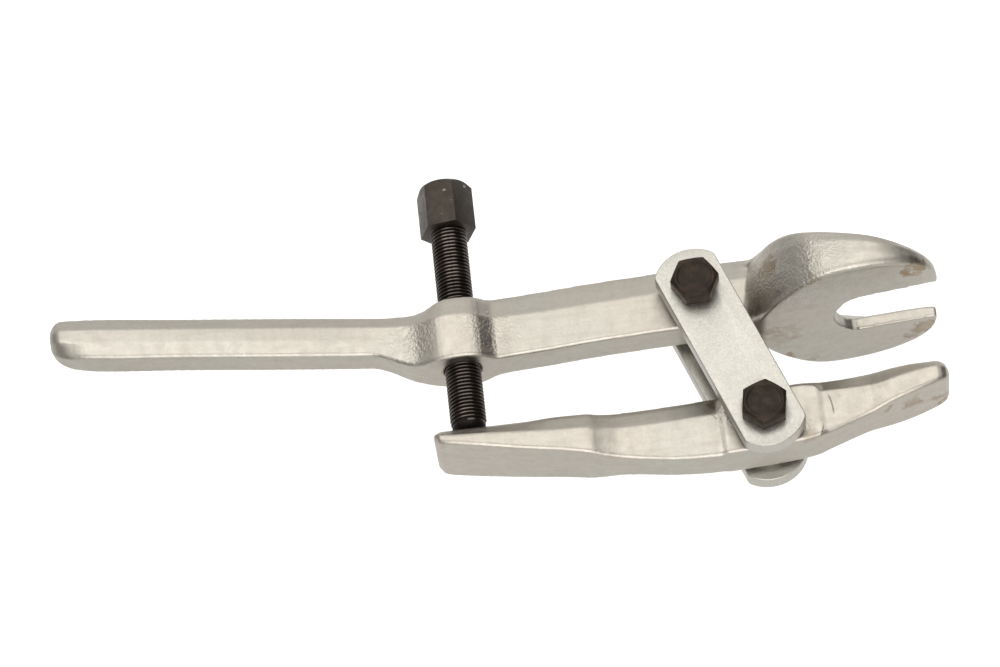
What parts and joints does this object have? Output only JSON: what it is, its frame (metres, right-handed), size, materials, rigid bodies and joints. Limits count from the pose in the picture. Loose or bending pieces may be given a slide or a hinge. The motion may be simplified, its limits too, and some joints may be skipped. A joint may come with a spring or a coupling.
{
  "type": "ball joint separator",
  "caption": "Hinged ball joint separator: a forged fork lever with a handle, a forged pressure lever, two bolted link plates and a forcing screw with a tall hex head.",
  "frame": {"origin": "centre of the underside of the bounding box, with the tool lying on its side", "axes": "+X along the tool from the handle to the jaws, +Y along the forcing screw towards its hex head, +Z along the pivot bolts towards their heads"},
  "size_m": [0.3368, 0.136, 0.0742],
  "materials": {
    "forging": "shot-blasted, nickel-zinc plated forging, satin",
    "link_plate": "fine matte zinc plate",
    "black_bolt": "black oxide, oily",
    "screw": "black oxide, oily thread",
    "ball": "polished bearing steel",
    "nylon": "moulded nylon"
  },
  "bodies": {
    "fork": {"fork_lever": "forging"},
    "screw_tip": {"tip_ball": "ball"},
    "screw": {"pressure_screw": "screw"},
    "link": {"front_link_plate": "link_plate", "rear_link_plate": "link_plate", "upper_pivot_bolt": "black_bolt", "upper_lock_nut": "black_bolt", "upper_nut_insert": "nylon"},
    "lower_pin": {"lower_pivot_bolt": "black_bolt", "lower_lock_nut": "black_bolt", "lower_nut_insert": "nylon"},
    "lever": {"pressure_lever": "forging"}
  },
  "joints": [
    {"name": "screw_feed", "type": "slide", "parent": "fork", "child": "screw_tip", "axis": [0, 1, 0], "range_m": [-0.03, 0.0195]},
    {"name": "screw_turn", "type": "hinge", "parent": "screw_tip", "child": "screw", "pos_m": [-0.01285, -0.0086, 0.0371], "axis": [0, 1, 0], "range_deg": [-7210, 4690]},
    {"name": "link_swing", "type": "hinge", "parent": "fork", "child": "link", "pos_m": [0.07805, 0.0028, 0.0371], "axis": [0, 0, 1], "range_deg": [-11, 0]},
    {"name": "lower_pin_turn", "type": "hinge", "parent": "link", "child": "lower_pin", "pos_m": [0.09765, -0.0524, 0.0371], "axis": [0, 0, 1], "range_deg": [-0.1, 11.1]},
    {"name": "lever_tilt", "type": "hinge", "parent": "lower_pin", "child": "lever", "pos_m": [0.09765, -0.0524, 0.0371], "axis": [0, 0, 1], "range_deg": [-10.1, 15.6]}
  ],
  "couplings": [
    {"joint": "screw_turn", "follows": "screw_feed", "rad_per_m": 4188.8},
    {"joint": "lever_tilt", "follows": "screw_feed", "rad_per_m": -8.9686},
    {"joint": "lower_pin_turn", "follows": "link_swing", "ratio": -1}
  ]
}
